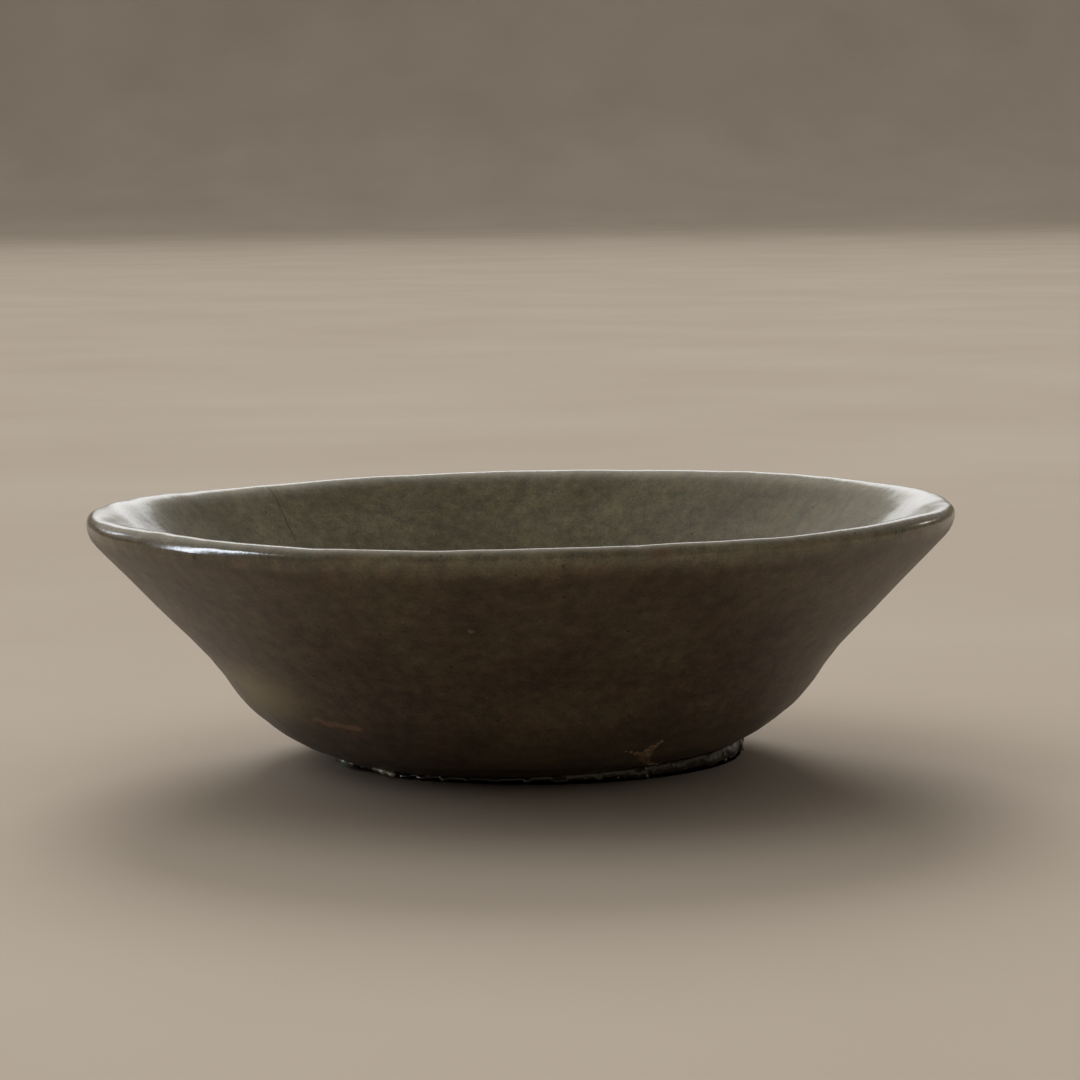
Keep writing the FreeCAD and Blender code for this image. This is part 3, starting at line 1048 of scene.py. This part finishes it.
# Two faint runs on the right of the inside.
for start, end in [((57, 30, 37.6), (50, 24, 29)), ((50, 38, 37), (45, 32, 29))]:
    faint = calculate(tree, "MULTIPLY", near_line(tree, place, start, end, 1.0), 0.3)
    shade = blend(tree, faint, shade, colour("3c3324"))
# Rust-brown iron just under the bite in the lip.
rust = near_spot(tree, place, (20.4, -66.9, 39.6), (2.6, 2.4, 1.6), 0.9)
shade = blend(tree, calculate(tree, "MULTIPLY", rust, 0.4), shade, colour("5a3320"))
# A pale fleck high on the front, a wavy pinkish scar low on the left, bare clay by the lump.
pale_fleck = near_spot(tree, place, (-7.2, -60.6, 27.6), (0.8, 0.8, 0.7), 0.9)
shade = blend(tree, pale_fleck, shade, colour("7d715b"))
scar = near_line(tree, place, (-31.9, -33.0, 10.2), (-24.9, -38.0, 9.7), 0.6, 2.6)
shade = blend(tree, calculate(tree, "MULTIPLY", scar, 0.6), shade, colour("93705a"))
bare = near_spot(tree, place, (18.2, -33.8, 4.9), (3.9, 3.6, 3.0), 0.8)
shade = blend(tree, calculate(tree, "MULTIPLY", bare, 0.7), shade, colour("606347"))
# The lip and the inside kept their gloss. The outside is worn and a little matt.
gloss = add_node(tree, "ShaderNodeAttribute", {"attribute_name": "inside"}).outputs["Fac"]
wear = add_node(tree, "ShaderNodeMapRange", sockets={
    "Value": gloss, 1: 0.0, 2: 0.5, 3: ROUGHNESS_OUTSIDE, 4: ROUGHNESS_INSIDE}).outputs[0]
finish_glaze(tree, shader, shade, surface, 0.055, wear)
coat.data.materials.append(glaze)
print("glaze: %d nodes" % len(tree.nodes))

# %% [markdown]
# Where glaze gathers it is thick, paler and greener, and full of fine bubbles. The run
# glaze uses the same recipe with its own colours: almost black, as painted shade low round
# the foot, and pale only in the thick drips at the left.

# %% Pooled glaze
# Pooled celadon: darkened almost to black as painted shade for the roll low round the foot, milky where it
# hangs in thick drips.
POOLED_WITH_PAINTED_SHADE = [(0.35, "1f1a13"), (0.6, "292219"), (0.85, "403b2d")]
pooled, tree, shader, place, shade, surface = build_glaze(
    "pooled_celadon_glaze", POOLED_WITH_PAINTED_SHADE, POOLED_WITH_PAINTED_SHADE)
# The drips at the left are thick enough to turn pale and milky. Their pale green and the near-white
# slanting
#  ridge are partly that milky glaze and partly painted highlight.
pale = near_spot(tree, place, (-29.2, -14.6, 1.2), (4.4, 4.0, 2.8), 0.7)
shade = blend(tree, calculate(tree, "MULTIPLY", pale, 0.8), shade, colour("7f9580"))
ridge = near_line(tree, place, (-25.0, -21.8, 2.0), (-20.6, -26.2, 0.4), 1.5, 1.0)
shade = blend(tree, calculate(tree, "MULTIPLY", ridge, 0.75), shade, colour("b4b8a4"))
finish_glaze(tree, shader, shade, surface, 0.05, 0.36)
run.data.materials.append(pooled)
print("pooled glaze: %d nodes" % len(tree.nodes))


# %% [markdown]
# ## Bare clay, fireclay and quartz
#
# Unglazed stoneware is matt, warm grey-brown and sandy: the sand is a grain of half a
# millimetre. Fireclay is paler, pinker and coarser. Quartz is a pale stone with a slight
# shine on its broken faces.

# %% Matt minerals
def build_mineral(name, dark, light, grain_mm, roughness, bump_mm):
    """A matt finish with two sizes of sand in it."""
    material, tree, shader, place = new_finish(name)
    coarse = add_node(tree, "ShaderNodeTexNoise", sockets={
        "Vector": place, "Scale": per_mm(grain_mm * 7), "Detail": 4.0}).outputs["Fac"]
    sand = add_node(tree, "ShaderNodeTexNoise", sockets={
        "Vector": place, "Scale": per_mm(grain_mm), "Detail": 3.0}).outputs["Fac"]
    both = calculate(tree, "MULTIPLY_ADD", sand, 0.55, calculate(tree, "MULTIPLY", coarse, 0.45))
    tone = add_node(tree, "ShaderNodeValToRGB", sockets={"Fac": both},
                    stops=[(0.36, colour(dark)), (0.64, colour(light))])
    relief = add_node(tree, "ShaderNodeBump", sockets={"Height": sand, "Distance": bump_mm * MM})
    tree.links.new(tone.outputs["Color"], shader.inputs["Base Color"])
    tree.links.new(relief.outputs["Normal"], shader.inputs["Normal"])
    shader.inputs["Roughness"].default_value = roughness
    return material


# Stoneware is fired clay with sand in it. Fireclay is open and crumbly. Quartz is hard stone.
bare_stoneware = build_mineral("bare_stoneware", "4f3d30", "80664f", 0.5, 0.85, 0.12)
clay.data.materials.append(bare_stoneware)
foot.data.materials.append(bare_stoneware)
wad.data.materials.append(build_mineral("crumbly_fireclay", "5c4b36", "937c60", 0.4, 0.92, 0.15))
grit.data.materials.append(build_mineral("quartz_grains", "57513f", "948c7a", 0.3, 0.4, 0.05))
for piece in (clay, foot, wad, grit):
    print(piece.name, "is finished in", piece.data.materials[0].name)
